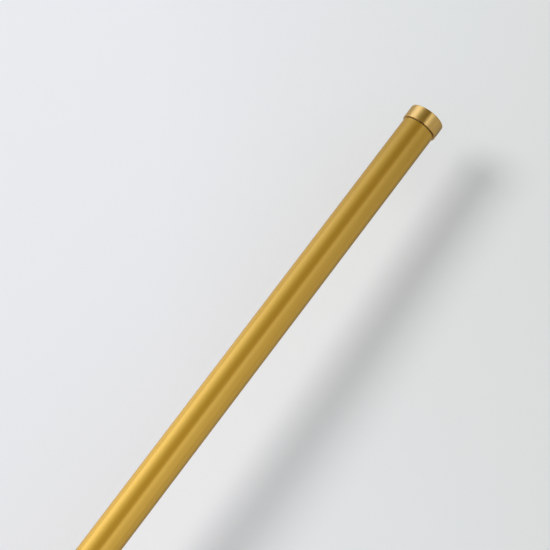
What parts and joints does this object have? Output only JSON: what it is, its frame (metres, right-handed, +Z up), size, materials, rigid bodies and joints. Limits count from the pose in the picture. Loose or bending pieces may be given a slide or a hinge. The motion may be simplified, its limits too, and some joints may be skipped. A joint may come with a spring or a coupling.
{
  "type": "rhythmic gymnastics ribbon wand",
  "caption": "Slim gold tube with a turned brass end cap, a ball-bearing swivel and snap clasp at the tip, and a satin ribbon rolled up for stowing.",
  "frame": {"origin": "centre of the butt cap's flat end face", "axes": "+X runs along the wand from the butt cap to the ribbon, +Z is up with the ribbon roll's axis level along Y"},
  "size_m": [0.6101, 0.05, 0.04],
  "materials": {
    "gold_anodised_tube": "satin",
    "turned_brass": "satin",
    "washer_black": "matte",
    "bush_brass": "satin",
    "bush_bronze": "satin",
    "bearing_steel": "polished",
    "spindle_steel": "satin",
    "cage_nylon": "matte",
    "plug_plastic": "matte",
    "nickel_plate": "satin",
    "spring_steel": "gloss",
    "strap_webbing": "matte",
    "stitch_thread": "matte",
    "ribbon_satin": "satin"
  },
  "bodies": {
    "wand": {"shaft_tube": "gold_anodised_tube", "butt_bush": "bush_brass", "tip_ferrule": "turned_brass", "tip_bush": "bush_bronze", "bearing_cup": "bearing_steel", "cavity_plug": "plug_plastic"},
    "washer": {"cap_washer": "washer_black"},
    "cap": {"butt_cap": "turned_brass"},
    "swivel": {"swivel_spindle": "spindle_steel", "swivel_nut": "bearing_steel"},
    "bearing": {"bearing_balls": "bearing_steel", "ball_cage": "cage_nylon"},
    "ring": {"split_ring": "nickel_plate"},
    "eye": {"clasp_eye": "nickel_plate"},
    "clasp": {"clasp_body": "nickel_plate", "clasp_gate_pin": "spindle_steel"},
    "gate": {"clasp_gate": "nickel_plate", "clasp_spring": "spring_steel"},
    "ribbon": {"ribbon_strap": "strap_webbing", "ribbon_roll": "ribbon_satin", "ribbon_stitching": "stitch_thread"}
  },
  "joints": [
    {"name": "cap_travel", "type": "slide", "parent": "wand", "child": "washer", "axis": [-1, 0, 0], "range_m": [0, 0.0064]},
    {"name": "cap_unscrew", "type": "hinge", "parent": "washer", "child": "cap", "pos_m": [0, 0, 0], "axis": [-1, 0, 0], "range_deg": [0, 2880]},
    {"name": "swivel_spin", "type": "hinge", "parent": "wand", "child": "swivel", "pos_m": [0.49625, 0, 0], "axis": [1, 0, 0], "continuous": true},
    {"name": "bearing_orbit", "type": "hinge", "parent": "wand", "child": "bearing", "pos_m": [0.4876, 0, 0], "axis": [1, 0, 0], "continuous": true},
    {"name": "ring_swing", "type": "hinge", "parent": "swivel", "child": "ring", "pos_m": [0.49985, 0, 0], "axis": [0, 1, 0], "range_deg": [-90, 90]},
    {"name": "clasp_swing", "type": "hinge", "parent": "ring", "child": "eye", "pos_m": [0.50585, 0, 0], "axis": [0, 0, 1], "range_deg": [-45, 45]},
    {"name": "clasp_swivel", "type": "hinge", "parent": "eye", "child": "clasp", "pos_m": [0.51335, 0, 0], "axis": [1, 0, 0], "continuous": true},
    {"name": "gate_open", "type": "hinge", "parent": "clasp", "child": "gate", "pos_m": [0.51655, 0.0031, 0], "axis": [0, 0, -1], "range_deg": [0, 24]},
    {"name": "ribbon_swing", "type": "hinge", "parent": "clasp", "child": "ribbon", "pos_m": [0.52815, 0, 0], "axis": [0, 1, 0], "range_deg": [-60, 60]}
  ],
  "couplings": [
    {"joint": "cap_unscrew", "follows": "cap_travel", "rad_per_m": 7854},
    {"joint": "bearing_orbit", "follows": "swivel_spin", "ratio": 0.5}
  ]
}
